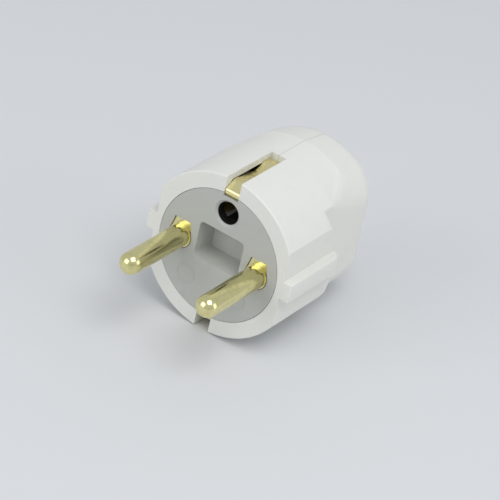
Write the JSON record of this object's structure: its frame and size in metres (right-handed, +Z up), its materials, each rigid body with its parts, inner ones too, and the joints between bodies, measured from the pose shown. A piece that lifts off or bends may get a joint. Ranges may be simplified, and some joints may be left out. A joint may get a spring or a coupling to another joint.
{
  "type": "angled plug",
  "caption": "Rewireable angled mains plug with two 4.8 mm round pins, side earth strips, a female earth hole and a cord inlet in the bottom of its rear hood.",
  "frame": {"origin": "midway between the two pins on the plane of the front face", "axes": "+X to the right seen from the front, +Y from the face into the body, +Z up towards the earth hole"},
  "size_m": [0.036, 0.0575, 0.036],
  "materials": {
    "housing_white": "fine satin moulding",
    "carrier_grey": "matt moulding",
    "contact_brass": "plain brass",
    "strip_brass": "rolled brass strip",
    "screw_steel": "zinc plated"
  },
  "bodies": {
    "root": {"left_housing": "housing_white", "right_housing": "housing_white", "contact_carrier": "carrier_grey", "carrier_cover": "carrier_grey", "cord_clamp": "carrier_grey", "live_pin": "contact_brass", "neutral_pin": "contact_brass", "earth_terminal": "contact_brass", "earth_socket_rivet": "contact_brass", "earth_strip": "strip_brass", "earth_socket": "strip_brass", "live_terminal_screw": "screw_steel", "neutral_terminal_screw": "screw_steel", "earth_terminal_screw": "screw_steel", "front_clamp_screw": "screw_steel", "rear_clamp_screw": "screw_steel", "top_housing_screw": "screw_steel", "bottom_housing_screw": "screw_steel", "top_housing_nut": "screw_steel", "bottom_housing_nut": "screw_steel"}
  },
  "joints": []
}
